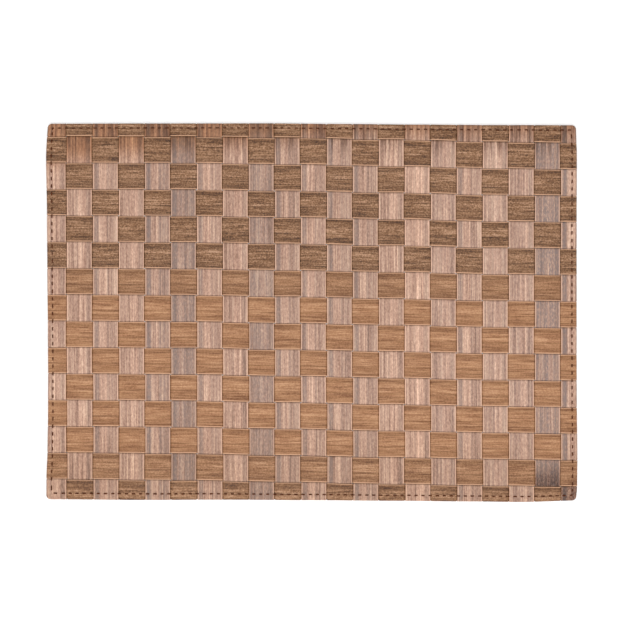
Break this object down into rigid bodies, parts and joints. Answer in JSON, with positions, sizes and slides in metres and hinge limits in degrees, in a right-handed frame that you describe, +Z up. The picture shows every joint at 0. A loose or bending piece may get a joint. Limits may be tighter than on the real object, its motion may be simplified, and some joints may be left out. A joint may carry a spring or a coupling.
{
  "type": "placemat",
  "caption": "Flat rectangular table mat woven from wide wood-look strips, its edges folded under and sewn all round.",
  "frame": {"origin": "middle of the mat on the surface that it lies on", "axes": "+X along the long side, to the picture's right; +Y along the short side, to the picture's top; +Z up, out of the face"},
  "size_m": [0.4212, 0.3005, 0.0029],
  "materials": {
    "warp_film": "pinkish beige wood-grain print, grain along the strip, slight sheen",
    "weft_film": "brown to orange-brown wood-grain print, grain along the strip, slight sheen",
    "thread": "dark brown sewing thread"
  },
  "bodies": {
    "root": {"warp_01": "warp_film", "warp_02": "warp_film", "warp_03": "warp_film", "warp_04": "warp_film", "warp_05": "warp_film", "warp_06": "warp_film", "warp_07": "warp_film", "warp_08": "warp_film", "warp_09": "warp_film", "warp_10": "warp_film", "warp_11": "warp_film", "warp_12": "warp_film", "warp_13": "warp_film", "warp_14": "warp_film", "warp_15": "warp_film", "warp_16": "warp_film", "warp_17": "warp_film", "warp_18": "warp_film", "warp_19": "warp_film", "warp_20": "warp_film", "warp_21": "warp_film", "weft_01": "weft_film", "weft_02": "weft_film", "weft_03": "weft_film", "weft_04": "weft_film", "weft_05": "weft_film", "weft_06": "weft_film", "weft_07": "weft_film", "weft_08": "weft_film", "weft_09": "weft_film", "weft_10": "weft_film", "weft_11": "weft_film", "weft_12": "weft_film", "weft_13": "weft_film", "weft_14": "weft_film", "weft_15": "weft_film"}
  },
  "joints": []
}
